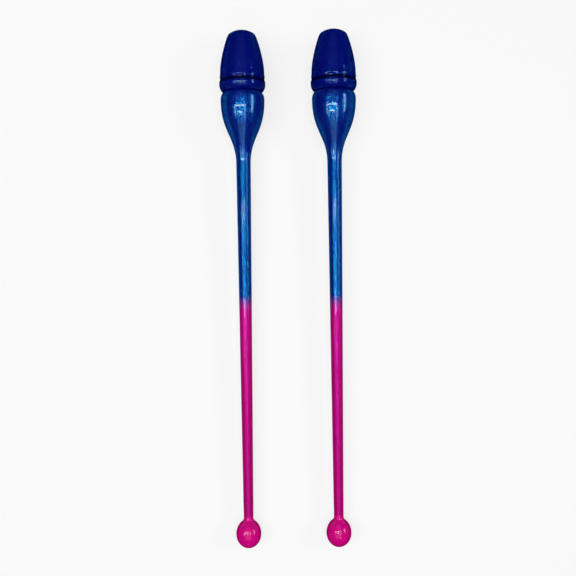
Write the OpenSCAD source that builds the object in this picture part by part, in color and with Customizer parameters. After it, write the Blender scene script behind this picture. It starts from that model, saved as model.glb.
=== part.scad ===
// Pair of rhythmic gymnastics clubs lying side by side on the floor, heads towards +Y.
// Each club is drawn upright on its own axis, z = 0 at the ball's lowest point, and then laid down.

/* [Pair] */
// Distance between the two clubs' axes
pair_pitch = 79; // [60:1:160]
// Length of a club, from the ball to the crowned end of the head
club_len = 450; // [400:1:500]
// Radial clearance of the hidden fits
fit_gap = 0.05; // [0.03:0.01:0.1]

/* [Head cup] */
// Length of the cup, from the groove to the crown
cup_len = 43.3; // [41:0.1:47]
// Largest diameter of the cup, at its lower edge
cup_d = 38.9; // [38.4:0.1:39.6]
// Diameter of the cup just above its flared lip
cup_waist_d = 38.2; // [37.4:0.1:38.3]
// Height of the flared lip
cup_lip_h = 3.8; // [3:0.1:5]
// Diameter of the cup at the corner below the crown
cup_corner_d = 26; // [23:0.1:28]
// Height of the crown above that corner
crown_h = 6.8; // [6:0.1:7.4]
// Radius of the crowned end
crown_r = 19.6; // [17:0.1:30]
// Wall of the cup
cup_wall = 2.6; // [1.8:0.1:3.2]
// Diameter of the open well in the crown
well_d = 8; // [7.8:0.1:9]
// Wall of the well's tube
well_wall = 1.8; // [1.4:0.1:2.2]
// Rounding of the well's mouth
well_round = 0.6; // [0.3:0.1:0.8]
// Floor of the well, which the screw clamps
well_floor = 4; // [3:0.1:5]
// Number of ribs between the well and the wall
rib_count = 6; // [4:1:8]
// Thickness of a rib
rib_t = 1.4; // [1:0.1:1.8]

/* [Head collar] */
// Length of the collar, from the V-notch to the groove
collar_len = 10.1; // [9.6:0.1:11.2]
// Largest diameter of the collar
collar_d = 39.8; // [39.5:0.1:41]
// Height of the largest diameter above the V-notch
collar_belly = 7.1; // [6.6:0.1:7.4]
// Diameter of the collar's upper edge
collar_top_d = 39.5; // [39:0.1:39.5]
// Diameter at the bottom of the V-notch
notch_d = 30.8; // [30:0.1:32]
// Drop of the cup's lip where it tapers to the groove
lip_drop = 0.4; // [0.3:0.1:0.6]
// Height of that taper
lip_taper_h = 2.9; // [2.4:0.1:3.3]
// Rounding of the two edges at the groove
edge_round = 0.5; // [0.3:0.1:0.6]
// Width of the groove
groove_w = 0.5; // [0.4:0.1:0.8]
// Diameter at the bottom of the groove
groove_d = 37; // [36.4:0.1:37.4]
// Height of the registers that centre the mouldings on each other
register_h = 4; // [3:0.1:5]
// Wall of the registers
register_t = 2.4; // [2:0.1:2.6]
// Drop of the web below the groove
web_drop = 2.6; // [2:0.1:3.4]
// Thickness of the web
web_t = 4; // [3:0.1:5]
// Outer diameter of the boss that holds the weight down
boss_d = 12; // [10:0.1:14]

/* [Bulb] */
// Length of the bulb, from its seam with the shaft to the V-notch
bulb_len = 61.5; // [60:0.1:66]
// Largest diameter of the bulb
bulb_d = 37.9; // [37:0.1:39.4]
// Height of the shoulder between the largest diameter and the V-notch
shoulder_h = 6.2; // [5.5:0.1:8]
// Fullness of the bulb's belly
belly_pull = 28; // [25:0.5:30]
// Length over which the neck stays slim
neck_pull = 24; // [20:0.5:27]
// Wall of the bulb
bulb_wall = 2.8; // [2.2:0.1:3]
// Height of the bulb's inner floor above the seam
floor_h = 31; // [29:0.5:33]

/* [Balance weight] */
// Outer diameter of the weight
weight_d = 23; // [20:0.5:24]
// Height of the weight
weight_h = 16; // [12:0.5:18]

/* [Shaft] */
// Diameter of the shaft where it meets the bulb
shaft_head_d = 12.5; // [12.1:0.1:13.3]
// Diameter of the shaft just above the ball's neck
shaft_grip_d = 8.7; // [8.6:0.1:9.6]
// Length over which the neck widens to the grip diameter
grip_blend = 20; // [15:1:30]
// Outer diameter of the core tube
core_d = 6.4; // [6:0.1:6.6]
// Wall of the core tube
core_wall = 0.8; // [0.6:0.1:1]
// Outer diameter of the spigot and the ferrule in the bulb's bore
spigot_d = 9.9; // [9.4:0.1:10.2]
// Height of the sleeve's spigot
spigot_h = 8; // [6:0.5:10]

/* [Ball end] */
// Diameter of the ball
ball_d = 21.9; // [21:0.1:23]
// Height of the ball's widest point
ball_low = 12.4; // [12:0.1:13]
// Upper half height of the ball, before the neck cuts it
ball_high = 12.9; // [12:0.1:13.5]
// Length of the ball end, up to its seam with the shaft
ball_len = 28.2; // [27.5:0.1:30]
// Diameter of the neck at the seam
neck_d = 8.4; // [8.2:0.1:8.6]
// Diameter of the stud's head inside the ball
stud_head_d = 11; // [9:0.5:12]
// Thickness of the stud's head
stud_head_t = 2.5; // [2:0.1:3.5]
// Rubber under the stud's head
stud_cover = 6.5; // [5:0.5:7]
// Length of the stud's stem
stud_stem = 15; // [10:1:25]

/* [Screw and ferrule] */
// Diameter of the head screw
screw_d = 4; // [3.6:0.1:4.4]
// Length of the head screw under its head
screw_len = 47; // [46:0.5:48]
// Diameter of the screw's head
screw_head_d = 6.8; // [6.4:0.1:7]
// Height of the screw's head
screw_head_h = 4; // [3.5:0.1:4.4]
// Width across the flats of the screw's socket
screw_key = 3; // [2.5:0.1:3.4]
// Thickness of the washer
washer_t = 0.8; // [0.5:0.1:1.2]
// Clearance of the screw through the head's mouldings
screw_gap = 0.2; // [0.1:0.05:0.4]
// Diameter of the ferrule's flange
flange_d = 16; // [14:0.5:19]
// Thickness of the ferrule's flange
flange_t = 3; // [2.5:0.1:4]
// Length of the ferrule below its flange
ferrule_len = 13; // [11:0.5:14]

/* [Hidden] */
$fn = 96;
SIDES = [["left", -1], ["right", 1]];
PIECES = ["head_cup", "head_collar", "bulb", "head_screw", "head_washer", "balance_weight",
          "core_ferrule", "shaft_core", "shaft_sleeve", "ball_end", "ball_stud"];

BLUE = [0.03, 0.12, 0.55];
PINK = [0.80, 0.06, 0.50];
STEEL = [0.70, 0.71, 0.73];
DARK_STEEL = [0.42, 0.43, 0.45];
BRASS = [0.80, 0.62, 0.28];
ALUMINIUM = [0.82, 0.83, 0.85];

// Places along the club, from the ball's lowest point
groove_z = club_len - cup_len;
notch_z = groove_z - collar_len;
belly_z = notch_z + collar_belly;
seam_z = notch_z - bulb_len;
bulb_wide_z = notch_z - shoulder_h;
floor_z = seam_z + floor_h;
corner_z = club_len - crown_h;
lip_z = groove_z + lip_taper_h;
collar_top_z = groove_z - groove_w;
waist_z = lip_z + cup_lip_h;
web_top = groove_z - web_drop;
web_z = web_top - web_t;
seat_z = web_top + well_floor;
head_z = seat_z + washer_t;
step_z = head_z + screw_head_h + fit_gap;
flange_top = floor_z + flange_t;
weight_top = flange_top + weight_h;
screw_end = head_z - screw_len;
core_top = screw_end - 1;
stud_top = stud_cover + stud_head_t;

// Radii
cup_r = cup_d / 2;
waist_r = cup_waist_d / 2;
corner_r = cup_corner_d / 2;
crown_edge_r = corner_r - 2.2;
well_r = well_d / 2;
well_or = well_r + well_wall;
pocket_r = screw_head_d / 2 + 0.3;
collar_r = collar_d / 2;
collar_top_r = collar_top_d / 2;
lip_r = cup_r - lip_drop;
groove_r = groove_d / 2;
notch_r = notch_d / 2;
bulb_r = bulb_d / 2;
bulb_mouth_r = notch_r - bulb_wall;
upper_register_r = cup_r - cup_wall;
shaft_head_r = shaft_head_d / 2;
shaft_grip_r = shaft_grip_d / 2;
neck_r = neck_d / 2;
core_r = core_d / 2;
core_ir = core_r - core_wall;
spigot_r = spigot_d / 2;
screw_r = screw_d / 2;
screw_hole_r = screw_r + screw_gap;

// Curves, as lists of [radius, height]
function bezier(a, b, c, d, n) =
    [for (i = [0 : n]) let (t = i / n, u = 1 - t)
        u * u * u * a + 3 * u * u * t * b + 3 * u * t * t * c + t * t * t * d];
function oval(centre, rx, rz, from, to, n) =
    [for (i = [0 : n]) let (t = from + (to - from) * i / n)
        [centre.x + rx * cos(t), centre.y + rz * sin(t)]];
function after_first(points) = [for (i = [1 : len(points) - 1]) points[i]];
function last(points) = points[len(points) - 1];
function reversed(points) = [for (i = [len(points) - 1 : -1 : 0]) points[i]];
// The same curve moved inwards by w, square to itself
function inset(points, w) =
    [for (i = [0 : len(points) - 1])
        let (t = points[min(i + 1, len(points) - 1)] - points[max(i - 1, 0)])
        points[i] - w * [t.y, -t.x] / norm(t)];

// Outer outlines
function crown_z(r) = club_len - crown_r + sqrt(crown_r * crown_r - r * r);
cup_edge = concat(
    oval([lip_r - edge_round, groove_z + edge_round], edge_round, edge_round, -90, -13, 5),
    after_first(bezier(
        [lip_r - edge_round * (1 - cos(13)), groove_z + edge_round * (1 - sin(13))],
        [lip_r + 0.33, groove_z + edge_round + 1.45], [cup_r, lip_z - 0.45], [cup_r, lip_z], 7)));
cup_lip = bezier([cup_r, lip_z], [cup_r - 0.1, lip_z + cup_lip_h * 0.3],
    [waist_r + 0.03, waist_z - cup_lip_h * 0.4], [waist_r, waist_z], 6);
cup_flank = bezier([waist_r, waist_z], [waist_r - 0.08, waist_z + cup_len * 0.237],
    [corner_r + 2.2, corner_z - 6.3], [corner_r, corner_z], 22);
cup_corner = bezier([corner_r, corner_z], [corner_r - 0.62, corner_z + 1.62],
    [crown_edge_r + 0.9, crown_z(crown_edge_r) - 0.55], [crown_edge_r, crown_z(crown_edge_r)], 7);
cup_crown = [for (i = [1 : 8])
    let (r = crown_edge_r + (well_r + well_round - crown_edge_r) * i / 8) [r, crown_z(r)]];
well_lip_z = crown_z(well_r + well_round) - well_round;
well_lip = oval([well_r + well_round, well_lip_z], well_round, well_round, 90, 180, 4);

collar_side = concat(
    oval([notch_r, belly_z], collar_r - notch_r, collar_belly, -90, 0, 12),
    after_first(bezier([collar_r, belly_z], [collar_r, belly_z + 0.9],
        [collar_top_r + 0.03, collar_top_z - 1.2], [collar_top_r, collar_top_z - edge_round], 5)),
    after_first(oval([collar_top_r - edge_round, collar_top_z - edge_round],
        edge_round, edge_round, 0, 90, 5)),
    [[groove_r, collar_top_z], [groove_r, groove_z]]);

bulb_flank = bezier([shaft_head_r, seam_z], [shaft_head_r, seam_z + neck_pull],
    [bulb_r, bulb_wide_z - belly_pull], [bulb_r, bulb_wide_z], 30);
bulb_shoulder = oval([notch_r, bulb_wide_z], bulb_r - notch_r, shoulder_h, 0, 90, 12);

grip_z = ball_len + grip_blend;
sleeve_side = concat(
    bezier([neck_r, ball_len], [neck_r, ball_len + grip_blend * 0.25],
        [shaft_grip_r, ball_len + grip_blend * 0.3], [shaft_grip_r, grip_z], 8),
    [[shaft_head_r, seam_z]]);

ball_top_angle = 58;
ball_body = oval([0, ball_low], ball_d / 2, ball_low, -90, 0, 16);
ball_upper = oval([0, ball_low], ball_d / 2, ball_high, 0, ball_top_angle, 11);
ball_dir = last(ball_upper) - ball_upper[len(ball_upper) - 2];
ball_neck = bezier(last(ball_upper), last(ball_upper) + ball_dir / norm(ball_dir) * 2.4,
    [neck_r, ball_len - 1.6], [neck_r, ball_len], 9);

// How a club lies: its collar and its ball both touch the floor
lie_angle = atan((collar_r - ball_d / 2) / (belly_z - ball_low));
module laid(side)
    translate([side * pair_pitch / 2, -club_len * cos(lie_angle) / 2,
               ball_d / 2 * cos(lie_angle) - ball_low * sin(lie_angle)])
        rotate([lie_angle - 90, 0, 0])
            children();

// Upper moulding: crowned cup with a ribbed inside and the open well down to the screw
function crown_inner_z(r) =
    club_len - crown_r + sqrt(pow(crown_r - cup_wall, 2) - r * r);
module cup_cavity() {
    register_top = groove_z + register_h + 0.5;
    flank = [for (p = inset(cup_flank, cup_wall))
        if (p.y > register_top && p.y < crown_inner_z(p.x)) p];
    edge_r = last(flank).x;
    crown = [for (i = [0 : 8]) let (r = edge_r + (well_or - edge_r) * i / 8) [r, crown_inner_z(r)]];
    rotate_extrude()
        polygon(concat([[well_or, groove_z - 1], [upper_register_r, groove_z - 1],
            [upper_register_r, register_top]], flank, crown));
}
module cup_ribs()
    for (i = [0 : rib_count - 1])
        rotate([0, 0, i * 360 / rib_count])
            translate([well_r, -rib_t / 2, groove_z + register_h + 1])
                cube([cup_r, rib_t, cup_len]);
module head_cup()
    color(BLUE)
        difference() {
            union() {
                rotate_extrude()
                    polygon(concat([[well_r, groove_z]], cup_edge, after_first(cup_lip),
                        after_first(cup_flank), after_first(cup_corner), cup_crown,
                        after_first(well_lip)));
                translate([0, 0, web_top]) cylinder(r = well_or, h = step_z - web_top);
            }
            difference() {
                cup_cavity();
                cup_ribs();
            }
            translate([0, 0, step_z]) cylinder(r = well_r, h = club_len);
            translate([0, 0, seat_z]) cylinder(r = pocket_r, h = club_len);
            translate([0, 0, web_top - 1]) cylinder(r = screw_hole_r, h = club_len);
        }

// Ring between the groove and the V-notch, with a web, two registers and the boss
module head_collar() {
    upper_r = upper_register_r - fit_gap;
    lower_r = bulb_mouth_r - fit_gap;
    color(BLUE)
        rotate_extrude()
            polygon(concat(
                [[screw_hole_r, weight_top], [boss_d / 2, weight_top], [boss_d / 2, web_z],
                 [lower_r - register_t, web_z], [lower_r - register_t, notch_z - register_h],
                 [lower_r, notch_z - register_h], [lower_r, notch_z]],
                collar_side,
                [[upper_r, groove_z], [upper_r, groove_z + register_h],
                 [upper_r - register_t, groove_z + register_h], [upper_r - register_t, web_top],
                 [screw_hole_r, web_top]]));
}

// Pear-shaped lower moulding, open at the V-notch
module bulb() {
    wall = [for (p = inset(bulb_flank, bulb_wall)) if (p.y > floor_z) [min(p.x, bulb_mouth_r), p.y]];
    color(BLUE)
        rotate_extrude()
            polygon(concat(
                [[spigot_r + fit_gap, seam_z]], bulb_flank, after_first(bulb_shoulder),
                [[bulb_mouth_r, notch_z]], reversed(wall),
                [[wall[0].x - 0.6, floor_z], [spigot_r + fit_gap, floor_z]]));
}

// Cap screw from the well's floor into the ferrule
module head_screw()
    color(STEEL)
        difference() {
            union() {
                translate([0, 0, screw_end]) cylinder(r = screw_r, h = screw_len + 1);
                translate([0, 0, head_z]) cylinder(d = screw_head_d, h = screw_head_h);
            }
            translate([0, 0, head_z + screw_head_h / 2])
                cylinder(d = screw_key / cos(30), h = screw_head_h, $fn = 6);
        }

module head_washer()
    color(STEEL)
        translate([0, 0, seat_z])
            difference() {
                cylinder(r = pocket_r - 0.1, h = washer_t);
                translate([0, 0, -1]) cylinder(r = screw_hole_r, h = washer_t + 2);
            }

module balance_weight()
    color(DARK_STEEL)
        translate([0, 0, flange_top])
            difference() {
                cylinder(d = weight_d, h = weight_h);
                translate([0, 0, -1]) cylinder(r = screw_hole_r, h = weight_h + 2);
            }

// Threaded end of the core: a flange under the weight and a socket for the tube
module core_ferrule()
    color(BRASS)
        rotate_extrude()
            polygon([[core_r + fit_gap, floor_z - ferrule_len], [spigot_r, floor_z - ferrule_len],
                [spigot_r, floor_z], [flange_d / 2, floor_z], [flange_d / 2, flange_top],
                [screw_r + fit_gap, flange_top], [screw_r + fit_gap, core_top],
                [core_r + fit_gap, core_top]]);

module shaft_core()
    color(ALUMINIUM)
        translate([0, 0, stud_top])
            difference() {
                cylinder(r = core_r, h = core_top - stud_top);
                translate([0, 0, -1]) cylinder(r = core_ir, h = core_top - stud_top + 2);
            }

// Tapered outer moulding of the shaft, with the spigot that enters the bulb
module shaft_sleeve()
    color(PINK)
        rotate_extrude()
            polygon(concat([[core_r + fit_gap, ball_len]], sleeve_side,
                [[spigot_r, seam_z], [spigot_r, seam_z + spigot_h],
                 [core_r + fit_gap, seam_z + spigot_h]]));

module ball_end()
    color(PINK)
        rotate_extrude()
            polygon(concat(ball_body, after_first(ball_upper), after_first(ball_neck),
                [[core_r + fit_gap, ball_len], [core_r + fit_gap, stud_top],
                 [stud_head_d / 2, stud_top], [stud_head_d / 2, stud_cover], [0, stud_cover]]));

// Headed stud: the rubber is moulded round its head, its stem is glued into the core
module ball_stud()
    color(BRASS)
        union() {
            translate([0, 0, stud_cover]) cylinder(d = stud_head_d, h = stud_head_t);
            translate([0, 0, stud_cover])
                cylinder(r = core_ir - fit_gap, h = stud_head_t + stud_stem);
        }

for (s = SIDES) {
    laid(s[1]) head_cup();
    laid(s[1]) head_collar();
    laid(s[1]) bulb();
    laid(s[1]) head_screw();
    laid(s[1]) head_washer();
    laid(s[1]) balance_weight();
    laid(s[1]) core_ferrule();
    laid(s[1]) shaft_core();
    laid(s[1]) shaft_sleeve();
    laid(s[1]) ball_end();
    laid(s[1]) ball_stud();
}
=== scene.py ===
"""Turned, painted mouldings and metal fittings of a pair of rhythmic gymnastics clubs,
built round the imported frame, with the lamps, floor and camera that show them."""
import math

import bmesh
import bpy
import numpy as np
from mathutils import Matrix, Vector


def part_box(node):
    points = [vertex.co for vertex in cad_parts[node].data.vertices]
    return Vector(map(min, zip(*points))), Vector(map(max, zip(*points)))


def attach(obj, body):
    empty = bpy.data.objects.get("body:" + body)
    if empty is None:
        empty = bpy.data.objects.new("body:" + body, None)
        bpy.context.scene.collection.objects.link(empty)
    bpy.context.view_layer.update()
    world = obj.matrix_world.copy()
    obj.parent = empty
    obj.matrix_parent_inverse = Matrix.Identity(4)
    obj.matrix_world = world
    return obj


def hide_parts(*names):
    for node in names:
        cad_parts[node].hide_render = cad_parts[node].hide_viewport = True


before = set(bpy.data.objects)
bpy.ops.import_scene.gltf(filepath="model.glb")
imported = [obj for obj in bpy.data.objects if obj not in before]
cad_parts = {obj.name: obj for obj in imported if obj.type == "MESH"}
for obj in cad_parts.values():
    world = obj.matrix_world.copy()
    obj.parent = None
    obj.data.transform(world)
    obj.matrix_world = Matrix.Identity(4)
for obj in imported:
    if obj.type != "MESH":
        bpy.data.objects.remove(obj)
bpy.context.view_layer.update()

bl_info = {
    "name": "Gymnastics Clubs",
    "version": (1, 0, 0),
    "blender": (4, 5, 0),
    "location": "View3D > Sidebar > Clubs",
    "description": "Builds a pair of two-colour rhythmic gymnastics clubs and their stage",
    "category": "Object",
}

MM = 0.001
SIDES = ("left", "right")
INNER_FINISHES = {
    "head_screw": "Bright steel",
    "head_washer": "Bright steel",
    "balance_weight": "Turned weight steel",
    "core_ferrule": "Turned brass",
    "ball_stud": "Turned brass",
    "shaft_core": "Drawn aluminium",
}

# Each metal's base colour, roughness, stretch of its marks and marks per metre.
METALS = {
    "Bright steel": ((0.60, 0.61, 0.63), 0.26, (60, 1, 60), 60.0),
    "Turned weight steel": ((0.38, 0.39, 0.41), 0.38, (1, 40, 1), 90.0),
    "Turned brass": ((0.78, 0.56, 0.25), 0.30, (1, 40, 1), 90.0),
    "Drawn aluminium": ((0.74, 0.75, 0.77), 0.32, (80, 1, 80), 60.0),
}

# How much smoother a bright flake is than the paint round it.
FLAKE_POLISH = 0.2
# Facing values between which a clear coat's gloss goes from full to none.
COAT_THINS = (0.18, 0.42)
# Radiance of the frame's near tube, which the other tubes are multiples of.
TUBE_RADIANCE = 26.0

SAME_PLACE = 1e-7
WELD_DISTANCE = 1e-6
SHARP_EDGE = math.radians(40)


# ---------------------------------------------------------------- settings

def length(name, mm, text):
    """A length setting whose default is given in millimetres."""
    return bpy.props.FloatProperty(name=name, description=text, default=mm * MM,
                                   min=0.0, unit="LENGTH", subtype="DISTANCE", precision=5)


def colour(name, rgb, text):
    """A colour setting, in linear light."""
    return bpy.props.FloatVectorProperty(name=name, description=text, default=rgb, size=3,
                                         min=0.0, max=1.0, subtype="COLOR")


def factor(name, default, text):
    """A setting between nothing and all."""
    return bpy.props.FloatProperty(name=name, description=text, default=default,
                                   min=0.0, max=1.0, subtype="FACTOR")


def club_spacing_mm():
    """Distance between the two balls' axes, read from the frame."""
    places = [sum(corner.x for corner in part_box(side + "_ball_end")) / 2 for side in SIDES]
    return (places[1] - places[0]) / MM


class ClubSizes(bpy.types.PropertyGroup):
    """Sizes of a club's outer mouldings, along and across its own axis."""
    spacing: length("Spacing", club_spacing_mm(), "Distance between the clubs' axes")
    club_len: length("Club length", 450, "From the ball to the crowned end")
    fit_gap: length("Fit gap", 0.05, "Radial clearance of the hidden fits")
    cup_len: length("Cup length", 43.3, "From the fine groove to the crown")
    cup_d: length("Cup diameter", 38.9, "Across the lower edge of the cup")
    cup_waist_d: length("Cup waist", 38.2, "Across the cup just above its flared lip")
    cup_lip_h: length("Cup lip", 3.8, "Height of the flared lip")
    cup_corner_d: length("Cup corner", 26, "Across the corner below the crown")
    crown_h: length("Crown height", 6.8, "From that corner to the end")
    crown_r: length("Crown radius", 19.6, "Radius of the crowned end")
    cup_wall: length("Cup wall", 2.6, "Wall of the cup")
    well_d: length("Well diameter", 8, "Across the open well in the crown")
    well_wall: length("Well wall", 1.8, "Wall of the well's tube")
    well_round: length("Well rounding", 0.6, "Rounding of the well's mouth")
    well_floor: length("Well floor", 4, "Floor that the screw clamps")
    collar_len: length("Collar length", 10.1, "From the V-notch to the groove")
    collar_d: length("Collar diameter", 39.8, "Largest diameter of the collar")
    collar_belly: length("Collar belly", 7.1, "Height of the largest diameter over the notch")
    collar_top_d: length("Collar top", 39.5, "Across the collar's upper edge")
    notch_d: length("Notch diameter", 30.8, "Across the bottom of the V-notch")
    lip_drop: length("Lip drop", 0.4, "Drop of the cup's lip where it tapers to the groove")
    lip_taper_h: length("Lip taper", 2.9, "Height of that taper")
    edge_round: length("Edge rounding", 0.5, "Rounding of the two edges at the groove")
    groove_w: length("Groove width", 0.5, "Width of the groove")
    groove_d: length("Groove diameter", 37, "Across the bottom of the groove")
    register_h: length("Register height", 4, "Height of the centring registers")
    register_t: length("Register wall", 2.4, "Wall of the registers")
    web_drop: length("Web drop", 2.6, "From the groove down to the web")
    web_t: length("Web thickness", 4, "Thickness of the collar's web")
    boss_d: length("Boss diameter", 12, "Across the boss over the weight")
    bulb_len: length("Bulb length", 61.5, "From the seam with the shaft to the V-notch")
    bulb_d: length("Bulb diameter", 37.9, "Largest diameter of the bulb")
    shoulder_h: length("Shoulder height", 6.2, "From the largest diameter to the notch")
    belly_pull: length("Belly fullness", 28, "Fullness of the bulb's belly")
    neck_pull: length("Neck slimness", 24, "Length over which the neck stays slim")
    bulb_wall: length("Bulb wall", 2.8, "Wall of the bulb")
    floor_h: length("Bulb floor", 31, "Height of the inner floor over the seam")
    weight_h: length("Weight height", 16, "Height of the balance weight")
    flange_t: length("Flange thickness", 3, "Thickness of the ferrule's flange")
    shaft_head_d: length("Shaft at the head", 12.5, "Shaft diameter at the bulb")
    shaft_grip_d: length("Shaft at the grip", 8.7, "Shaft diameter over the ball's neck")
    grip_blend: length("Grip blend", 20, "Length over which the neck widens")
    core_d: length("Core diameter", 6.4, "Outer diameter of the core tube")
    spigot_d: length("Spigot diameter", 9.9, "Across the sleeve's spigot")
    spigot_h: length("Spigot height", 8, "Height of the sleeve's spigot")
    screw_d: length("Screw diameter", 4, "Diameter of the head screw")
    screw_head_d: length("Screw head", 6.8, "Diameter of the screw's head")
    screw_head_h: length("Screw head height", 4, "Height of the screw's head")
    screw_gap: length("Screw clearance", 0.2, "Clearance of the screw in the mouldings")
    washer_t: length("Washer thickness", 0.8, "Thickness of the washer")
    ball_d: length("Ball diameter", 21.9, "Across the ball")
    ball_low: length("Ball lower half", 12.4, "Height of the ball's widest point")
    ball_high: length("Ball upper half", 12.9, "Upper half height of the ball")
    ball_len: length("Ball end length", 28.2, "Up to the seam with the shaft")
    neck_d: length("Neck diameter", 8.4, "Across the neck at the seam")
    stud_head_d: length("Stud head", 11, "Across the stud's head in the ball")
    stud_head_t: length("Stud head thickness", 2.5, "Thickness of the stud's head")
    stud_cover: length("Stud cover", 6.5, "Rubber under the stud's head")
    segments: bpy.props.IntProperty(name="Segments", default=144, min=24, max=256,
                                    description="Faces round a turned piece")


class ClubFinishes(bpy.types.PropertyGroup):
    """Colours and gloss of the paint and the rubber."""
    deep_blue: colour("Deep blue", (0.001, 0.0035, 0.16), "Ground coat of the blue parts")
    blue_flake: colour("Blue flake", (0.003, 0.02, 0.78), "Dull flakes in the blue coat")
    azure_flake: colour("Azure flake", (0.015, 0.55, 0.90), "Bright flakes in the blue coat")
    flake_rim: colour("Flake rim", (0.0, 0.005, 0.08), "Flakes seen at a grazing angle")
    pink: colour("Pink", (0.47, 0.003, 0.16), "Ground coat of the pink shaft")
    pink_flake: colour("Pink flake", (0.70, 0.005, 0.28), "Dull flakes in the pink coat")
    violet_flake: colour("Violet flake", (0.62, 0.035, 0.70), "Bright flakes in the pink coat")
    ball_pink: colour("Ball pink", (0.74, 0.002, 0.25), "Rubber of the ball")
    fade_start: bpy.props.FloatProperty(
        name="Fade start", default=-3.0 * MM, unit="LENGTH", precision=5,
        description="Place along Y where the blue begins to turn pink")
    fade_end: bpy.props.FloatProperty(
        name="Fade end", default=-18.5 * MM, unit="LENGTH", precision=5,
        description="Place along Y where the pink is full")
    fade_mist: length("Fade mist", 6, "Unevenness of the sprayed edge")
    head_flakes: factor("Flakes of the head", 0.04,
                        "Share of the cup's and the collar's paint that is flake")
    shaft_flakes: factor("Flakes of the shaft", 0.19,
                         "Share of the bulb's and the shaft's paint that is flake")
    head_coat: factor("Coat on the head", 0.11,
                      "Weight of the clear coat over the cup and the collar")
    shaft_coat: factor("Coat on the shaft", 0.055, "Weight of the clear coat over the shaft")
    bulb_coat: factor("Coat on the bulb", 0.2, "Weight of the clear coat over the bulb")
    ball_coat: factor("Skin of the ball", 0.3, "Weight of the satin skin over the rubber")
    # Painted shade: the four settings below draw a dark band beside the groove, standing in
    # for the groove's shadow.
    groove_shade: factor("Painted groove shade", 0.85, "How far the paint has darkened beside the groove")
    groove_shade_drop: length("Groove shade drop", 1.1, "From the cup's edge down to the darkest line")
    groove_shade_core: length("Groove shade core", 0.9, "Half width of the darkest band")
    groove_shade_reach: length("Groove shade reach", 2.4, "Half width at which the dark band ends")


class StageSettings(bpy.types.PropertyGroup):
    """Floor, camera and lamps."""
    floor_half: bpy.props.FloatProperty(name="Floor half width", default=6.0, unit="LENGTH",
                                        description="From the middle to the floor's edge")
    floor_drop: length("Floor drop", 0.1, "Gap under the clubs")
    floor_tone: factor("Floor tone", 0.22, "Reflectance of the floor")
    floor_lift: factor("Floor lift", 0.75, "White added to the floor as it is seen")
    camera_x: bpy.props.FloatProperty(name="Camera X", default=-2.33 * MM, unit="LENGTH",
                                      precision=5, description="Camera across the clubs")
    camera_y: bpy.props.FloatProperty(name="Camera Y", default=2.26 * MM, unit="LENGTH",
                                      precision=5, description="Camera along the clubs")
    camera_height: bpy.props.FloatProperty(name="Camera height", default=0.682,
                                           unit="LENGTH", description="Camera over the floor")
    camera_lens: bpy.props.FloatProperty(name="Lens", default=47.84, unit="CAMERA",
                                         description="Focal length")
    camera_roll: bpy.props.FloatProperty(name="Roll", default=math.radians(-0.76),
                                         subtype="ANGLE", description="Turn of the camera")
    lamp_height: bpy.props.FloatProperty(name="Lamp height", default=1.4, unit="LENGTH",
                                         description="Height of the lamps over the floor")


# ---------------------------------------------------------------- outlines

def bezier(a, b, c, d, steps):
    """Points of a cubic curve."""
    t = np.linspace(0, 1, steps + 1)[:, None]
    a, b, c, d = (np.array(p, float) for p in (a, b, c, d))
    u = 1 - t
    return u ** 3 * a + 3 * u * u * t * b + 3 * u * t * t * c + t ** 3 * d


def oval(centre, rx, rz, start, end, steps):
    """Points of an upright ellipse's arc, with its angles in degrees."""
    t = np.radians(np.linspace(start, end, steps + 1))
    return np.column_stack((centre[0] + rx * np.cos(t), centre[1] + rz * np.sin(t)))


def line(a, b, steps):
    """Points of a straight stretch."""
    return np.linspace(a, b, steps + 1)


def inset(points, wall):
    """The same curve moved inwards by a wall, square to itself."""
    run = np.gradient(points, axis=0)
    run /= np.linalg.norm(run, axis=1)[:, None]
    return points - wall * np.column_stack((run[:, 1], -run[:, 0]))


def joined(*stretches):
    """One outline from stretches, without the points that two of them share."""
    points = [np.atleast_2d(np.array(stretches[0], float))]
    for stretch in stretches[1:]:
        stretch = np.atleast_2d(np.array(stretch, float))
        if np.linalg.norm(stretch[0] - points[-1][-1]) < SAME_PLACE:
            stretch = stretch[1:]
        points.append(stretch)
    return np.vstack(points)


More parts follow.
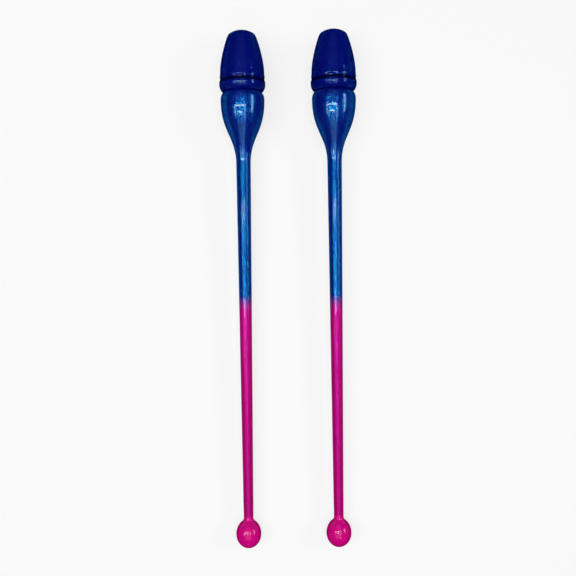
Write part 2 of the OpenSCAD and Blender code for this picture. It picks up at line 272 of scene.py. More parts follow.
class Outlines:
    """Heights, radii and closed outlines of (radius, height), from the ball's lowest point.
    The small lengths inside the curves are offsets of their handles."""

    CORNER_ROUNDING = 2.2 * MM   # across the rounding between the cup's side and its crown
    POCKET_GAP = 0.3 * MM        # round the screw's head and its washer
    REGISTER_RELIEF = 0.5 * MM   # over the collar's upper register
    FLOOR_STEP = 0.6 * MM        # between the bulb's wall and its inner floor
    LIP_LEAN = math.radians(13)  # of the lip's taper where it leaves the groove
    BALL_ARC = 58                # degrees of the ball's upper half before its neck

    def __init__(self, s):
        self.s = s
        self.groove_z = s.club_len - s.cup_len
        self.notch_z = self.groove_z - s.collar_len
        self.belly_z = self.notch_z + s.collar_belly
        self.seam_z = self.notch_z - s.bulb_len
        self.wide_z = self.notch_z - s.shoulder_h
        self.floor_z = self.seam_z + s.floor_h
        self.corner_z = s.club_len - s.crown_h
        self.web_top = self.groove_z - s.web_drop
        self.seat_z = self.web_top + s.well_floor
        self.step_z = self.seat_z + s.washer_t + s.screw_head_h + s.fit_gap
        self.weight_top = self.floor_z + s.flange_t + s.weight_h
        self.notch_r = s.notch_d / 2
        self.lip_r = s.cup_d / 2 - s.lip_drop
        self.lip_z = self.groove_z + s.lip_taper_h
        self.mouth_r = self.notch_r - s.bulb_wall
        self.register_r = s.cup_d / 2 - s.cup_wall
        self.screw_hole_r = s.screw_d / 2 + s.screw_gap
        self.core_hole_r = s.core_d / 2 + s.fit_gap
        self.well_r = s.well_d / 2
        # A club rests on its collar and its ball, so its axis leans, and its outline's
        # lowest point, the foot, comes to lie here.
        self.lie = math.atan((s.collar_d - s.ball_d) / 2 / (self.belly_z - s.ball_low))
        self.foot_y = -s.club_len * math.cos(self.lie) / 2
        self.foot_z = s.ball_d / 2 * math.cos(self.lie) - s.ball_low * math.sin(self.lie)

    def crown(self, r, depth=0.0):
        """Height of the crowned end at a radius, or of its inner face at a depth."""
        s = self.s
        return s.club_len - s.crown_r + np.sqrt((s.crown_r - depth) ** 2 - r * r)

    def cup_flank(self):
        """The cup's tapered side, from its waist to the corner under the crown."""
        s, waist_r, corner_r = self.s, self.s.cup_waist_d / 2, self.s.cup_corner_d / 2
        waist_z = self.lip_z + s.cup_lip_h
        return bezier((waist_r, waist_z), (waist_r - 0.08 * MM, waist_z + s.cup_len * 0.237),
                      (corner_r + self.CORNER_ROUNDING, self.corner_z - 6.3 * MM),
                      (corner_r, self.corner_z), 60)

    def cup(self):
        """The upper moulding with its open well."""
        s, lip_r, lip_z, edge = self.s, self.lip_r, self.lip_z, self.s.edge_round
        cup_r, waist_r, corner_r = s.cup_d / 2, s.cup_waist_d / 2, s.cup_corner_d / 2
        crown_r, waist_z = corner_r - self.CORNER_ROUNDING, lip_z + s.cup_lip_h
        mouth_r, well_or = self.well_r + s.well_round, self.well_r + s.well_wall
        crown = np.linspace(crown_r, mouth_r, 25)
        top = self.groove_z + s.register_h + self.REGISTER_RELIEF
        wall = inset(self.cup_flank(), s.cup_wall)
        wall = wall[(wall[:, 1] > top) & (wall[:, 1] < self.crown(wall[:, 0], s.cup_wall))]
        ceiling = np.linspace(wall[-1, 0], well_or, 16)
        pocket_r = s.screw_head_d / 2 + self.POCKET_GAP
        return joined(
            (self.register_r, self.groove_z),
            oval((lip_r - edge, self.groove_z + edge), edge, edge, -90, -13, 14),
            bezier((lip_r - edge * (1 - math.cos(self.LIP_LEAN)),
                    self.groove_z + edge * (1 - math.sin(self.LIP_LEAN))),
                   (lip_r + 0.33 * MM, self.groove_z + edge + 1.45 * MM),
                   (cup_r, lip_z - 0.45 * MM), (cup_r, lip_z), 22),
            bezier((cup_r, lip_z), (cup_r - 0.1 * MM, lip_z + s.cup_lip_h * 0.3),
                   (waist_r + 0.03 * MM, waist_z - s.cup_lip_h * 0.4), (waist_r, waist_z), 14),
            self.cup_flank(),
            bezier((corner_r, self.corner_z),
                   (corner_r - 0.62 * MM, self.corner_z + 1.62 * MM),
                   (crown_r + 0.9 * MM, self.crown(crown_r) - 0.55 * MM),
                   (crown_r, self.crown(crown_r)), 18),
            np.column_stack((crown, self.crown(crown))),
            oval((mouth_r, self.crown(mouth_r) - s.well_round), s.well_round, s.well_round,
                 90, 180, 10),
            (self.well_r, self.step_z), (pocket_r, self.step_z), (pocket_r, self.seat_z),
            (self.screw_hole_r, self.seat_z), (self.screw_hole_r, self.web_top),
            (well_or, self.web_top),
            np.column_stack((ceiling, self.crown(ceiling, s.cup_wall)))[::-1],
            wall[::-1], (self.register_r, top), (self.register_r, self.groove_z))

    def collar(self):
        """The ring between the groove and the notch, with its web and boss."""
        s, belly_r = self.s, self.s.collar_d / 2
        upper_r, lower_r = self.register_r - s.fit_gap, self.mouth_r - s.fit_gap
        lower_z, web_z = self.notch_z - s.register_h, self.web_top - s.web_t
        upper_z, top_z = self.groove_z + s.register_h, self.groove_z - s.groove_w
        top_r, edge = s.collar_top_d / 2, s.edge_round
        return joined(
            (self.screw_hole_r, self.weight_top), (s.boss_d / 2, self.weight_top),
            (s.boss_d / 2, web_z), (lower_r - s.register_t, web_z),
            (lower_r - s.register_t, lower_z), (lower_r, lower_z), (lower_r, self.notch_z),
            oval((self.notch_r, self.belly_z), belly_r - self.notch_r, s.collar_belly,
                 -90, 0, 40),
            bezier((belly_r, self.belly_z), (belly_r, self.belly_z + 0.9 * MM),
                   (top_r + 0.03 * MM, top_z - 1.2 * MM), (top_r, top_z - edge), 16),
            oval((top_r - edge, top_z - edge), edge, edge, 0, 90, 14),
            (s.groove_d / 2, top_z), (s.groove_d / 2, self.groove_z),
            (upper_r, self.groove_z), (upper_r, upper_z),
            (upper_r - s.register_t, upper_z), (upper_r - s.register_t, self.web_top),
            (self.screw_hole_r, self.web_top), (self.screw_hole_r, self.weight_top))

    def bulb(self):
        """The pear-shaped lower moulding."""
        s, bulb_r, neck_r = self.s, self.s.bulb_d / 2, self.s.shaft_head_d / 2
        bore_r = s.spigot_d / 2 + s.fit_gap
        flank = bezier((neck_r, self.seam_z), (neck_r, self.seam_z + s.neck_pull),
                       (bulb_r, self.wide_z - s.belly_pull), (bulb_r, self.wide_z), 90)
        wall = inset(flank, s.bulb_wall)
        wall = wall[wall[:, 1] > self.floor_z]
        wall[:, 0] = np.minimum(wall[:, 0], self.mouth_r)
        return joined(
            (bore_r, self.seam_z), flank,
            oval((self.notch_r, self.wide_z), bulb_r - self.notch_r, s.shoulder_h, 0, 90, 40),
            (self.mouth_r, self.notch_z), wall[::-1],
            (wall[0, 0] - self.FLOOR_STEP, self.floor_z), (bore_r, self.floor_z),
            (bore_r, self.seam_z))

    def sleeve(self):
        """The tapered shaft, with the spigot that enters the bulb."""
        s, neck_r, grip_r = self.s, self.s.neck_d / 2, self.s.shaft_grip_d / 2
        grip_z, spigot_r = s.ball_len + s.grip_blend, s.spigot_d / 2
        spigot_z = self.seam_z + s.spigot_h
        return joined(
            (self.core_hole_r, s.ball_len),
            bezier((neck_r, s.ball_len), (neck_r, s.ball_len + s.grip_blend * 0.25),
                   (grip_r, s.ball_len + s.grip_blend * 0.3), (grip_r, grip_z), 24),
            line((grip_r, grip_z), (s.shaft_head_d / 2, self.seam_z), 60),
            (spigot_r, self.seam_z), (spigot_r, spigot_z), (self.core_hole_r, spigot_z),
            line((self.core_hole_r, spigot_z), (self.core_hole_r, s.ball_len), 20))

    def ball(self):
        """The ball with its neck, moulded round the stud."""
        s, ball_r, neck_r = self.s, self.s.ball_d / 2, self.s.neck_d / 2
        upper = oval((0, s.ball_low), ball_r, s.ball_high, 0, self.BALL_ARC, 40)
        run = upper[-1] - upper[-2]
        stud_top = s.stud_cover + s.stud_head_t
        return joined(
            oval((0, s.ball_low), ball_r, s.ball_low, -90, 0, 48), upper,
            bezier(upper[-1], upper[-1] + run / np.linalg.norm(run) * 2.4 * MM,
                   (neck_r, s.ball_len - 1.6 * MM), (neck_r, s.ball_len), 24),
            (self.core_hole_r, s.ball_len), (self.core_hole_r, stud_top),
            (s.stud_head_d / 2, stud_top), (s.stud_head_d / 2, s.stud_cover),
            (0, s.stud_cover))


# ---------------------------------------------------------------- turning

def wire(tree, source, target):
    """Joins an output to an input."""
    tree.links.new(source, target)


def maths(tree, operation, a, b=None):
    """A Math node's output, with numbers or outputs as its inputs."""
    node = tree.nodes.new("ShaderNodeMath")
    node.operation = operation
    for socket, value in zip(node.inputs, (a, b)):
        if isinstance(value, bpy.types.NodeSocket):
            wire(tree, value, socket)
        elif value is not None:
            socket.default_value = value
    return node.outputs[0]


def turning_tree():
    """Geometry Nodes tree that turns an outline of loose points round the club's axis."""
    found = bpy.data.node_groups.get("Turned outline")
    if found:
        return found
    tree = bpy.data.node_groups.new("Turned outline", "GeometryNodeTree")
    tree.is_modifier = True
    face = tree.interface
    face.new_socket("Outline", in_out="INPUT", socket_type="NodeSocketGeometry")
    for name, kind in (("Segments", "Int"), ("Place", "Vector"), ("Turn", "Vector"),
                       ("Finish", "Material")):
        face.new_socket(name, in_out="INPUT", socket_type="NodeSocket" + kind)
    face.new_socket("Turned", in_out="OUTPUT", socket_type="NodeSocketGeometry")
    add = tree.nodes.new
    given, made = add("NodeGroupInput"), add("NodeGroupOutput")
    size, grid, index = (add("GeometryNodeAttributeDomainSize"), add("GeometryNodeMeshGrid"),
                         add("GeometryNodeInputIndex"))
    wire(tree, given.outputs["Outline"], size.inputs["Geometry"])
    # A grid with a row for each outline point and a column for each segment.
    columns = maths(tree, "ADD", given.outputs["Segments"], 1.0)
    wire(tree, size.outputs["Point Count"], grid.inputs["Vertices X"])
    wire(tree, columns, grid.inputs["Vertices Y"])
    row = maths(tree, "FLOOR", maths(tree, "DIVIDE", maths(
        tree, "ADD", index.outputs[0], 0.5), columns))
    column = maths(tree, "SUBTRACT", index.outputs[0], maths(tree, "MULTIPLY", row, columns))
    angle = maths(tree, "MULTIPLY", maths(tree, "DIVIDE", column, given.outputs["Segments"]),
                  2 * math.pi)
    sample, place = add("GeometryNodeSampleIndex"), add("GeometryNodeInputPosition")
    sample.data_type, sample.domain = "FLOAT_VECTOR", "POINT"
    wire(tree, given.outputs["Outline"], sample.inputs["Geometry"])
    wire(tree, place.outputs[0], sample.inputs["Value"])
    wire(tree, row, sample.inputs["Index"])
    # Each point of a row stands at its outline point's radius, turned by the column's angle.
    parts, whole = add("ShaderNodeSeparateXYZ"), add("ShaderNodeCombineXYZ")
    wire(tree, sample.outputs["Value"], parts.inputs[0])
    for axis, operation in enumerate(("COSINE", "SINE")):
        wire(tree, maths(tree, "MULTIPLY", parts.outputs["X"], maths(tree, operation, angle)),
             whole.inputs[axis])
    wire(tree, parts.outputs["Z"], whole.inputs["Z"])
    moved, merged = add("GeometryNodeSetPosition"), add("GeometryNodeMergeByDistance")
    merged.inputs["Distance"].default_value = WELD_DISTANCE
    laid, smooth = add("GeometryNodeTransform"), add("GeometryNodeSetShadeSmooth")
    real, finish = add("GeometryNodeRealizeInstances"), add("GeometryNodeSetMaterial")
    wire(tree, grid.outputs["Mesh"], moved.inputs["Geometry"])
    wire(tree, whole.outputs[0], moved.inputs["Position"])
    wire(tree, moved.outputs[0], merged.inputs["Geometry"])
    wire(tree, merged.outputs[0], laid.inputs["Geometry"])
    wire(tree, given.outputs["Place"], laid.inputs["Translation"])
    wire(tree, given.outputs["Turn"], laid.inputs["Rotation"])
    wire(tree, laid.outputs[0], smooth.inputs["Geometry"])
    wire(tree, smooth.outputs[0], real.inputs["Geometry"])
    wire(tree, real.outputs[0], finish.inputs["Geometry"])
    wire(tree, given.outputs["Finish"], finish.inputs["Material"])
    wire(tree, finish.outputs[0], made.inputs["Turned"])
    return tree


def set_inputs(modifier, **values):
    """Sets a Geometry Nodes modifier's inputs by their names."""
    for item in modifier.node_group.interface.items_tree:
        if item.item_type == "SOCKET" and item.in_out == "INPUT" and item.name in values:
            modifier[item.identifier] = values[item.name]


def turned_piece(name, outline, side, finish):
    """A closed smooth piece turned from an outline, laid down where its club lies."""
    s = bpy.context.scene.club_sizes
    shape = Outlines(s)
    mesh = bpy.data.meshes.new(name)
    mesh.from_pydata([(r, 0.0, z) for r, z in outline], [], [])
    piece = bpy.data.objects.new(name, mesh)
    bpy.context.scene.collection.objects.link(piece)
    turned = piece.modifiers.new("Turned outline", "NODES")
    turned.node_group = turning_tree()
    way = -1 if side == "left" else 1
    set_inputs(turned, Segments=s.segments, Finish=finish,
               Place=(way * s.spacing / 2, shape.foot_y, shape.foot_z),
               Turn=(shape.lie - math.pi / 2, 0.0, 0.0))
    bpy.context.view_layer.update()
    result = bpy.data.meshes.new_from_object(
        piece.evaluated_get(bpy.context.evaluated_depsgraph_get()))
    piece.modifiers.remove(turned)
    piece.data = result
    bpy.data.meshes.remove(mesh)
    result.name = name
    check = bmesh.new()
    check.from_mesh(result)
    if check.calc_volume(signed=True) < 0:
        bmesh.ops.reverse_faces(check, faces=check.faces)
        check.to_mesh(result)
    check.free()
    result.set_sharp_from_angle(angle=SHARP_EDGE)
    return piece


def dressed_pair(piece_name, outline, finish):
    """The left and the right piece of one kind, in place of their CAD nodes."""
    for side in SIDES:
        node = f"{side}_{piece_name}"
        piece = turned_piece(node + "_skin", outline, side, finish)
        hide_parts(node)
        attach(piece, side + "_club")


# ---------------------------------------------------------------- finishes

def shader_group(name, inputs, outputs):
    """A shader node group with its inputs (name, kind, default) and outputs (name, kind)."""
    group = bpy.data.node_groups.new(name, "ShaderNodeTree")
    for label, kind, default in inputs:
        socket = group.interface.new_socket(label, in_out="INPUT",
                                            socket_type="NodeSocket" + kind)
        if default is not None:
            socket.default_value = default
    for label, kind in outputs:
        group.interface.new_socket(label, in_out="OUTPUT", socket_type="NodeSocket" + kind)
    return group, group.nodes.new("NodeGroupInput"), group.nodes.new("NodeGroupOutput")


def flake_group():
    """Mask of fine metal flakes, each a cell of its own."""
    found = bpy.data.node_groups.get("Paint flakes")
    if found:
        return found
    group, given, made = shader_group(
        "Paint flakes", (("Vector", "Vector", None), ("Cells per metre", "Float", 9000.0),
                         ("Share", "Float", 0.08), ("Bright share", "Float", 0.5)),
        (("Mask", "Float"), ("Bright", "Float")))
    cells = group.nodes.new("ShaderNodeTexVoronoi")
    cells.feature = "F1"
    wire(group, given.outputs["Vector"], cells.inputs["Vector"])
    wire(group, given.outputs["Cells per metre"], cells.inputs["Scale"])
    split = group.nodes.new("ShaderNodeSeparateColor")
    wire(group, cells.outputs["Color"], split.inputs[0])
    wire(group, maths(group, "LESS_THAN", split.outputs[0], given.outputs["Share"]),
         made.inputs["Mask"])
    wire(group, maths(group, "LESS_THAN", split.outputs[1], given.outputs["Bright share"]),
         made.inputs["Bright"])
    return group


def peel_group():
    """Height of the faint unevenness that sprayed or moulded skins keep."""
    found = bpy.data.node_groups.get("Skin unevenness")
    if found:
        return found
    group, given, made = shader_group(
        "Skin unevenness", (("Vector", "Vector", None), ("Waves per metre", "Float", 420.0),
                            ("Fine share", "Float", 0.3)), (("Height", "Float"),))
    noises = []
    for factor in (1.0, 6.0):
        noise = group.nodes.new("ShaderNodeTexNoise")
        noise.inputs["Detail"].default_value = 2.0
        wire(group, given.outputs["Vector"], noise.inputs["Vector"])
        wire(group, maths(group, "MULTIPLY", given.outputs["Waves per metre"], factor),
             noise.inputs["Scale"])
        noises.append(noise.outputs[0])
    fine = maths(group, "MULTIPLY", noises[1], given.outputs["Fine share"])
    wire(group, maths(group, "ADD", noises[0], fine), made.inputs["Height"])
    return group


def handling_group():
    """Roughness that varies where hands and mats have dulled a surface."""
    found = bpy.data.node_groups.get("Handling marks")
    if found:
        return found
    group, given, made = shader_group(
        "Handling marks", (("Vector", "Vector", None), ("Base roughness", "Float", 0.3),
                           ("Spread", "Float", 0.08)), (("Roughness", "Float"),))
    cloud = group.nodes.new("ShaderNodeTexNoise")
    cloud.inputs["Scale"].default_value = 70.0
    cloud.inputs["Detail"].default_value = 4.0
    scuff = group.nodes.new("ShaderNodeTexNoise")
    scuff.inputs["Scale"].default_value = 900.0
    for noise in (cloud, scuff):
        wire(group, given.outputs["Vector"], noise.inputs["Vector"])
    mixed = maths(group, "ADD", maths(group, "MULTIPLY", cloud.outputs[0], 0.7),
                  maths(group, "MULTIPLY", scuff.outputs[0], 0.3))
    swing = maths(group, "MULTIPLY", maths(group, "SUBTRACT", mixed, 0.5),
                  maths(group, "MULTIPLY", given.outputs["Spread"], 2.0))
    wire(group, maths(group, "ADD", given.outputs["Base roughness"], swing),
         made.inputs["Roughness"])
    return group


def turning_marks_group():
    """Height of the fine rings that a lathe or a drawing die leaves along the club."""
    found = bpy.data.node_groups.get("Turning marks")
    if found:
        return found
    group, given, made = shader_group(
        "Turning marks", (("Vector", "Vector", None), ("Stretch", "Vector", (1, 60, 1)),
                          ("Lines per metre", "Float", 90.0)), (("Height", "Float"),))
    scaled = group.nodes.new("ShaderNodeVectorMath")
    scaled.operation = "MULTIPLY"
    wire(group, given.outputs["Vector"], scaled.inputs[0])
    wire(group, given.outputs["Stretch"], scaled.inputs[1])
    noise = group.nodes.new("ShaderNodeTexNoise")
    noise.inputs["Detail"].default_value = 3.0
    wire(group, scaled.outputs[0], noise.inputs["Vector"])
    wire(group, given.outputs["Lines per metre"], noise.inputs["Scale"])
    wire(group, noise.outputs[0], made.inputs["Height"])
    return group


def new_finish(name):
    """A material with its Principled BSDF and the object's own coordinates."""
    finish = bpy.data.materials.new(name)
    finish.use_nodes = True
    tree = finish.node_tree
    shader = tree.nodes["Principled BSDF"]
    place = tree.nodes.new("ShaderNodeTexCoord").outputs["Object"]
    return finish, tree, shader, place


def placed(tree, group, place, **values):
    """Outputs of a group placed in a material, with its vector and its own values."""
    node = tree.nodes.new("ShaderNodeGroup")
    node.node_tree = group
    wire(tree, place, node.inputs["Vector"])
    for label, value in values.items():
        node.inputs[label.replace("_", " ")].default_value = value
    return node.outputs


def dimmed(rgb, share):
    """A colour at a share of its brightness."""
    return [c * share for c in rgb]


def colour_mix(tree, share, a, b):
    """A mix of two colours, each an output or three numbers."""
    node = tree.nodes.new("ShaderNodeMix")
    node.data_type = "RGBA"
    for socket, value in ((node.inputs[0], share), (node.inputs[6], a), (node.inputs[7], b)):
        if isinstance(value, bpy.types.NodeSocket):
            wire(tree, value, socket)
        else:
            socket.default_value = value if isinstance(value, float) else (*value, 1.0)
    return node.outputs[2]


def value_range(tree, value, low, high, to_low=0.0, to_high=1.0, smooth=False):
    """A value taken from one range to another."""
    node = tree.nodes.new("ShaderNodeMapRange")
    node.interpolation_type = "SMOOTHSTEP" if smooth else "LINEAR"
    wire(tree, value, node.inputs["Value"])
    for label, number in (("From Min", low), ("From Max", high), ("To Min", to_low),
                          ("To Max", to_high)):
        node.inputs[label].default_value = number
    return node.outputs["Result"]


def bumped(tree, shader, height, strength, distance):
    """Feeds a height to the shader's normal."""
    bump = tree.nodes.new("ShaderNodeBump")
    bump.inputs["Strength"].default_value = strength
    bump.inputs["Distance"].default_value = distance
    wire(tree, height, bump.inputs["Height"])
    wire(tree, bump.outputs["Normal"], shader.inputs["Normal"])


def clear_coat(tree, shader, weight, roughness=0.03):
    """Gloss of a clear coat, which thins out towards grazing view."""
    rim = tree.nodes.new("ShaderNodeLayerWeight")
    rim.inputs["Blend"].default_value = 0.5
    wire(tree, value_range(tree, rim.outputs["Facing"], *COAT_THINS, weight, 0.0),
         shader.inputs["Coat Weight"])
    shader.inputs["Coat Roughness"].default_value = roughness
    shader.inputs["Coat IOR"].default_value = 1.8


def painted_groove_shade(tree, place):
    """How much painted shade darkens the paint in a band beside the groove between cup and
    collar.
    """
    f, shape = bpy.context.scene.club_finishes, Outlines(bpy.context.scene.club_sizes)
    parts = tree.nodes.new("ShaderNodeSeparateXYZ")
    wire(tree, place, parts.inputs[0])
    run = maths(tree, "MULTIPLY", maths(tree, "SUBTRACT", parts.outputs["Y"], shape.foot_y),
                math.cos(shape.lie))
    rise = maths(tree, "MULTIPLY", maths(tree, "SUBTRACT", parts.outputs["Z"], shape.foot_z),
                 math.sin(shape.lie))
    along = maths(tree, "ADD", run, rise)
    away = maths(tree, "ABSOLUTE",
                 maths(tree, "SUBTRACT", along, shape.groove_z - f.groove_shade_drop))
    return value_range(tree, away, f.groove_shade_core, f.groove_shade_reach, f.groove_shade, 0.0,
                       smooth=True)


def sprayed(tree, shader, place, share, coat, ground, dull, bright):
    """Ground colour with dull and bright flakes, under a clear coat with faint unevenness."""
    mask, kind = placed(tree, flake_group(), place, Share=share, Bright_share=0.5)
    flakes = colour_mix(tree, kind, dull, bright)
    wire(tree, colour_mix(tree, mask, ground, flakes), shader.inputs["Base Color"])
    wire(tree, mask, shader.inputs["Metallic"])
    rough = placed(tree, handling_group(), place, Base_roughness=0.48, Spread=0.06)[0]
    polish = maths(tree, "MULTIPLY", maths(tree, "MULTIPLY", mask, kind), FLAKE_POLISH)
    wire(tree, maths(tree, "SUBTRACT", rough, polish), shader.inputs["Roughness"])
    shader.inputs["Specular IOR Level"].default_value = 0.0
    rim = bpy.context.scene.club_finishes.flake_rim
    shader.inputs["Specular Tint"].default_value = (*rim, 1.0)
    clear_coat(tree, shader, coat)
    bumped(tree, shader, placed(tree, peel_group(), place)[0], strength=0.04,
           distance=0.2 * MM)


def candy_blue(name, share, coat):
    """Deep blue coat with azure flakes under clear coat, with painted shade darkening a band
    beside the groove.
    """
    found = bpy.data.materials.get(name)
    if found:
        return found
    f = bpy.context.scene.club_finishes
    finish, tree, shader, place = new_finish(name)
    # Painted shade: near the groove, each paint colour is mixed towards a tenth of itself.
    groove_shade = painted_groove_shade(tree, place)
    sprayed(tree, shader, place, share, coat,
            *(colour_mix(tree, groove_shade, paint, dimmed(paint, 0.1))
              for paint in (f.deep_blue, f.blue_flake, f.azure_flake)))
    return finish


def head_blue():
    """Coat of the cup and the collar, with few flakes."""
    f = bpy.context.scene.club_finishes
    return candy_blue("Deep blue paint", f.head_flakes, f.head_coat)


def bulb_blue():
    """Coat of the bulb, with as many flakes as the shaft's."""
    f = bpy.context.scene.club_finishes
    return candy_blue("Candy blue paint", f.shaft_flakes, f.bulb_coat)


def shaft_fade():
    """Blue coat that is sprayed over into pink across a short stretch of the shaft."""
    found = bpy.data.materials.get("Faded shaft paint")
    if found:
        return found
    f = bpy.context.scene.club_finishes
    finish, tree, shader, place = new_finish("Faded shaft paint")
    along = tree.nodes.new("ShaderNodeSeparateXYZ")
    wire(tree, place, along.inputs[0])
    mist = tree.nodes.new("ShaderNodeTexNoise")
    mist.inputs["Scale"].default_value = 1500.0
    mist.inputs["Detail"].default_value = 2.0
    wire(tree, place, mist.inputs["Vector"])
    drift = maths(tree, "MULTIPLY", maths(tree, "SUBTRACT", mist.outputs[0], 0.5),
                  f.fade_mist)
    blurred = maths(tree, "ADD", along.outputs["Y"], drift)
    share = value_range(tree, blurred, f.fade_start, f.fade_end, smooth=True)
    sprayed(tree, shader, place, f.shaft_flakes, f.shaft_coat,
            colour_mix(tree, share, f.deep_blue, f.pink),
            colour_mix(tree, share, f.blue_flake, f.pink_flake),
            colour_mix(tree, share, f.azure_flake, f.violet_flake))
    return finish


def ball_rubber():
    """Pink moulded rubber with a satin skin."""
    found = bpy.data.materials.get("Pink ball rubber")
    if found:
        return found
    f = bpy.context.scene.club_finishes
    finish, tree, shader, place = new_finish("Pink ball rubber")
    cloud = tree.nodes.new("ShaderNodeTexNoise")
    cloud.inputs["Scale"].default_value = 160.0
    wire(tree, place, cloud.inputs["Vector"])
    mottle = value_range(tree, cloud.outputs[0], 0.3, 0.7)
    wire(tree, colour_mix(tree, mottle, f.ball_pink, dimmed(f.ball_pink, 0.86)),
         shader.inputs["Base Color"])
    wire(tree, placed(tree, handling_group(), place, Base_roughness=0.3, Spread=0.06)[0],
         shader.inputs["Roughness"])
    shader.inputs["Specular IOR Level"].default_value = 0.0
    shader.inputs["Specular Tint"].default_value = (*f.ball_pink, 1.0)
    clear_coat(tree, shader, f.ball_coat, roughness=0.07)
    grain = placed(tree, peel_group(), place, Waves_per_metre=900.0, Fine_share=0.5)[0]
    bumped(tree, shader, grain, strength=0.08, distance=0.2 * MM)
    return finish


def turned_metal(name, base, rough, stretch, lines):
    """Bare metal with the marks of its making."""
    found = bpy.data.materials.get(name)
    if found:
        return found
    finish, tree, shader, place = new_finish(name)
    marks = placed(tree, turning_marks_group(), place, Stretch=stretch,
                   Lines_per_metre=lines)[0]
    streaks = value_range(tree, marks, 0.3, 0.7)
    wire(tree, colour_mix(tree, streaks, base, dimmed(base, 0.82)),
         shader.inputs["Base Color"])
    shader.inputs["Metallic"].default_value = 1.0
    wire(tree, placed(tree, handling_group(), place, Base_roughness=rough, Spread=0.08)[0],
         shader.inputs["Roughness"])
    bumped(tree, shader, marks, strength=0.2, distance=0.1 * MM)
    return finish


# ---------------------------------------------------------------- operators

class CLUBS_OT_head_cups(bpy.types.Operator):
    """Builds the crowned upper mouldings of both heads"""
    bl_idname = "clubs.head_cups"
    bl_label = "Head cups"

    def execute(self, context):
        shape = Outlines(context.scene.club_sizes)
        dressed_pair("head_cup", shape.cup(), head_blue())
        return {"FINISHED"}


class CLUBS_OT_head_collars(bpy.types.Operator):
    """Builds the collars between the fine groove and the V-notch"""
    bl_idname = "clubs.head_collars"
    bl_label = "Head collars"

    def execute(self, context):
        shape = Outlines(context.scene.club_sizes)
        dressed_pair("head_collar", shape.collar(), head_blue())
        return {"FINISHED"}


class CLUBS_OT_bulbs(bpy.types.Operator):
    """Builds the pear-shaped lower mouldings of both heads"""
    bl_idname = "clubs.bulbs"
    bl_label = "Bulbs"

    def execute(self, context):
        shape = Outlines(context.scene.club_sizes)
        dressed_pair("bulb", shape.bulb(), bulb_blue())
        return {"FINISHED"}


class CLUBS_OT_shaft_sleeves(bpy.types.Operator):
    """Builds the tapered shafts that fade from blue to pink"""
    bl_idname = "clubs.shaft_sleeves"
    bl_label = "Shaft sleeves"

    def execute(self, context):
        shape = Outlines(context.scene.club_sizes)
        dressed_pair("shaft_sleeve", shape.sleeve(), shaft_fade())
        return {"FINISHED"}


class CLUBS_OT_ball_ends(bpy.types.Operator):
    """Builds the rubber balls with their necks"""
    bl_idname = "clubs.ball_ends"
    bl_label = "Ball ends"

    def execute(self, context):
        shape = Outlines(context.scene.club_sizes)
        dressed_pair("ball_end", shape.ball(), ball_rubber())
        return {"FINISHED"}


class CLUBS_OT_fittings(bpy.types.Operator):
    """Gives the screws, washers, weights, ferrules, tubes and studs their metals"""
    bl_idname = "clubs.fittings"
    bl_label = "Metal fittings"

    def execute(self, context):
        for side in SIDES:
            for part, metal in INNER_FINISHES.items():
                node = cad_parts[f"{side}_{part}"]
                finish = turned_metal(metal, *METALS[metal])
                if not node.material_slots:
                    node.data.materials.append(finish)
                for slot in node.material_slots:
                    slot.material = finish
        return {"FINISHED"}


def floor_paint(stage):
    """Pale matt paint, lifted towards white wherever it is seen or mirrored."""
    pale = bpy.data.materials.new("Pale floor")
    pale.use_nodes = True
    tree = pale.node_tree
    shader = tree.nodes["Principled BSDF"]
    shader.inputs["Base Color"].default_value = (*[stage.floor_tone] * 3, 1.0)
    shader.inputs["Roughness"].default_value = 0.9
    shader.inputs["Specular IOR Level"].default_value = 0.0
    path = tree.nodes.new("ShaderNodeLightPath").outputs
    seen = maths(tree, "MAXIMUM", path["Is Camera Ray"],
                 maths(tree, "MAXIMUM", path["Is Glossy Ray"], path["Is Transmission Ray"]))
    shader.inputs["Emission Color"].default_value = (1.0, 1.0, 1.0, 1.0)
    wire(tree, maths(tree, "MULTIPLY", seen, stage.floor_lift),
         shader.inputs["Emission Strength"])
    return pale


def lamp(name, low, high, radiance, raised=0.0):
    """A flat lamp facing down, between two corners given as degrees from the plumb line:
    the first turns towards +X, the second towards the balls. A raised lamp hangs above
    the others, so that it covers none of them."""
    height = bpy.context.scene.club_stage.lamp_height + raised
    xs = [height * math.tan(math.radians(a)) for a in (low[0], high[0])]
    ys = [-height * math.tan(math.radians(a)) for a in (low[1], high[1])]
    light = bpy.data.lights.new(name, "AREA")
    light.shape = "RECTANGLE"
    light.size, light.size_y = abs(xs[1] - xs[0]), abs(ys[1] - ys[0])
    light.energy = radiance * math.pi * light.size * light.size_y
    holder = bpy.data.objects.new(name, light)
    holder.location = (sum(xs) / 2, sum(ys) / 2, height)
    holder.visible_camera = False
    bpy.context.scene.collection.objects.link(holder)


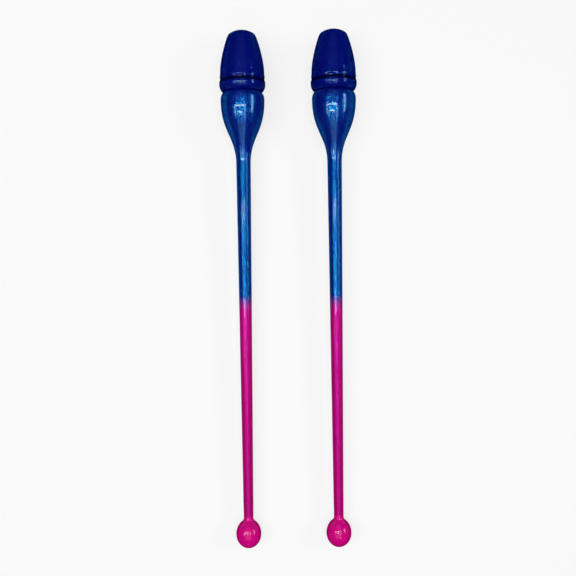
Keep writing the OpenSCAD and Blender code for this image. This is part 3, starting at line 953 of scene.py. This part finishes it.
class CLUBS_OT_stage(bpy.types.Operator):
    """Lays the floor, hangs the lamps, sets the surroundings and places the camera"""
    bl_idname = "clubs.stage"
    bl_label = "Stage"

    def execute(self, context):
        scene, stage = context.scene, context.scene.club_stage
        self.lay_floor(scene, stage)
        self.hang_lamps()
        self.surround(scene)
        self.place_camera(scene, stage)
        scene.view_settings.view_transform = "Standard"
        return {"FINISHED"}

    @staticmethod
    def lay_floor(scene, stage):
        """A wide pale floor under the clubs."""
        half, level = stage.floor_half, -stage.floor_drop
        mesh = bpy.data.meshes.new("floor")
        mesh.from_pydata([(-half, -half, level), (half, -half, level), (half, half, level),
                          (-half, half, level)], [], [(0, 1, 2, 3)])
        mesh.materials.append(floor_paint(stage))
        floor = bpy.data.objects.new("floor", mesh)
        scene.collection.objects.link(floor)

    @staticmethod
    def hang_lamps():
        """A wide dim panel, a frame of tubes below it with a shorter bar and soft glows
        inside, and a strip at the side. Those at one height don't overlap."""
        lamp("panel", (-34, -62.7), (20, 42.3), 0.2, raised=0.1)
        lamp("frame_near", (-40, -6.5), (17, -4.3), TUBE_RADIANCE)
        lamp("frame_left", (-42, -4.3), (-37, 13.1), TUBE_RADIANCE * 0.4)
        lamp("frame_right", (12, -4.3), (17, 17.2), TUBE_RADIANCE * 0.35)
        lamp("frame_low", (12, 17.2), (17, 40.2), TUBE_RADIANCE * 0.08)
        lamp("low_panel", (-30, 21.3), (12, 40.2), 0.7)
        lamp("inner_bar", (-25, 4.3), (-1, 6.4), TUBE_RADIANCE * 1.4)
        lamp("inner_left", (-36.5, 7.4), (-28, 17.2), 2.0)
        lamp("inner_middle", (-4, 6.4), (0, 21.3), TUBE_RADIANCE * 0.2)
        lamp("side_strip", (49, -32.3), (60, 9), TUBE_RADIANCE * 0.32)

    @staticmethod
    def surround(scene):
        """A dim, even room, so that little but the lamps shows in the gloss."""
        world = bpy.data.worlds.new("surroundings")
        world.use_nodes = True
        tree = world.node_tree
        place = tree.nodes.new("ShaderNodeTexCoord")
        parts = tree.nodes.new("ShaderNodeSeparateXYZ")
        ramp = tree.nodes.new("ShaderNodeValToRGB")
        wire(tree, place.outputs["Generated"], parts.inputs[0])
        wire(tree, parts.outputs["Z"], ramp.inputs[0])
        horizon_and_sky = ((0.0, 0.06), (0.1, 0.05))
        for element, (at, tone) in zip(ramp.color_ramp.elements, horizon_and_sky):
            element.position, element.color = at, (tone, tone, tone, 1.0)
        wire(tree, ramp.outputs[0], tree.nodes["Background"].inputs["Color"])
        scene.world = world

    @staticmethod
    def place_camera(scene, stage):
        """The camera, looking straight down."""
        camera = bpy.data.cameras.new("camera")
        camera.sensor_width = 36.0
        camera.lens = stage.camera_lens
        camera.clip_start = 0.01
        holder = bpy.data.objects.new("camera", camera)
        holder.location = (stage.camera_x, stage.camera_y, stage.camera_height)
        holder.rotation_euler = (0.0, 0.0, stage.camera_roll)
        scene.collection.objects.link(holder)
        scene.camera = holder


class CLUBS_PT_panel(bpy.types.Panel):
    """Lists the settings and the pieces"""
    bl_label = "Gymnastics clubs"
    bl_idname = "CLUBS_PT_panel"
    bl_space_type = "VIEW_3D"
    bl_region_type = "UI"
    bl_category = "Clubs"

    def draw(self, context):
        scene = context.scene
        for operator in OPERATORS:
            self.layout.operator(operator.bl_idname)
        for settings in (scene.club_sizes, scene.club_finishes, scene.club_stage):
            box = self.layout.box()
            for name in settings.bl_rna.properties.keys():
                if name not in ("rna_type", "name"):
                    box.prop(settings, name)


OPERATORS = (CLUBS_OT_head_cups, CLUBS_OT_head_collars, CLUBS_OT_bulbs,
             CLUBS_OT_shaft_sleeves, CLUBS_OT_ball_ends, CLUBS_OT_fittings, CLUBS_OT_stage)
SETTINGS = {"club_sizes": ClubSizes, "club_finishes": ClubFinishes,
            "club_stage": StageSettings}
CLASSES = (*SETTINGS.values(), *OPERATORS, CLUBS_PT_panel)


def register():
    """Adds the classes and the scene's settings."""
    for cls in CLASSES:
        bpy.utils.register_class(cls)
    for name, cls in SETTINGS.items():
        setattr(bpy.types.Scene, name, bpy.props.PointerProperty(type=cls))


def unregister():
    """Takes them away again."""
    for name in SETTINGS:
        delattr(bpy.types.Scene, name)
    for cls in reversed(CLASSES):
        bpy.utils.unregister_class(cls)


def main():
    """Builds everything."""
    register()
    bpy.ops.clubs.head_cups()
    bpy.ops.clubs.head_collars()
    bpy.ops.clubs.bulbs()
    bpy.ops.clubs.shaft_sleeves()
    bpy.ops.clubs.ball_ends()
    bpy.ops.clubs.fittings()
    bpy.ops.clubs.stage()
    bpy.context.view_layer.update()


if __name__ == "__main__":
    main()
